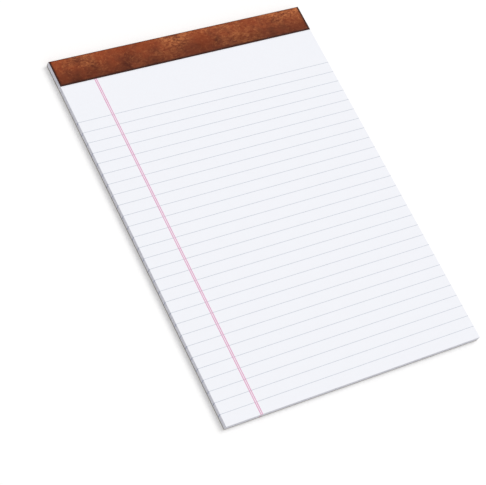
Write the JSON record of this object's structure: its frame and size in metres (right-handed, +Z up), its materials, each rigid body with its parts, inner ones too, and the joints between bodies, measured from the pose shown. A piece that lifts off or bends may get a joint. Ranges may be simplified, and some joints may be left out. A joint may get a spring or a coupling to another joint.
{
  "type": "legal pad",
  "caption": "Letter-size ruled writing pad: white sheets on a chipboard back, stapled at the head under a folded leather-look binding strip.",
  "frame": {"origin": "under the pad's centre, on the surface that it rests on", "axes": "+X across the pad to the right as it is read, +Y along the pad towards the bound head, +Z up out of the top sheet"},
  "size_m": [0.216, 0.2984, 0.0054],
  "materials": {
    "paper": "smooth uncoated white writing paper",
    "chipboard": "grey-brown chipboard",
    "binding": "printed leather-look paper, satin",
    "blue_ink": "matte print",
    "pink_ink": "matte print",
    "wire": "bright drawn wire"
  },
  "bodies": {
    "root": {"ruled_sheets": "paper", "backing_board": "chipboard", "binding_strip": "binding", "blue_rules": "blue_ink", "margin_lines": "pink_ink", "staple_1": "wire", "staple_2": "wire", "staple_3": "wire", "staple_4": "wire"}
  },
  "joints": []
}
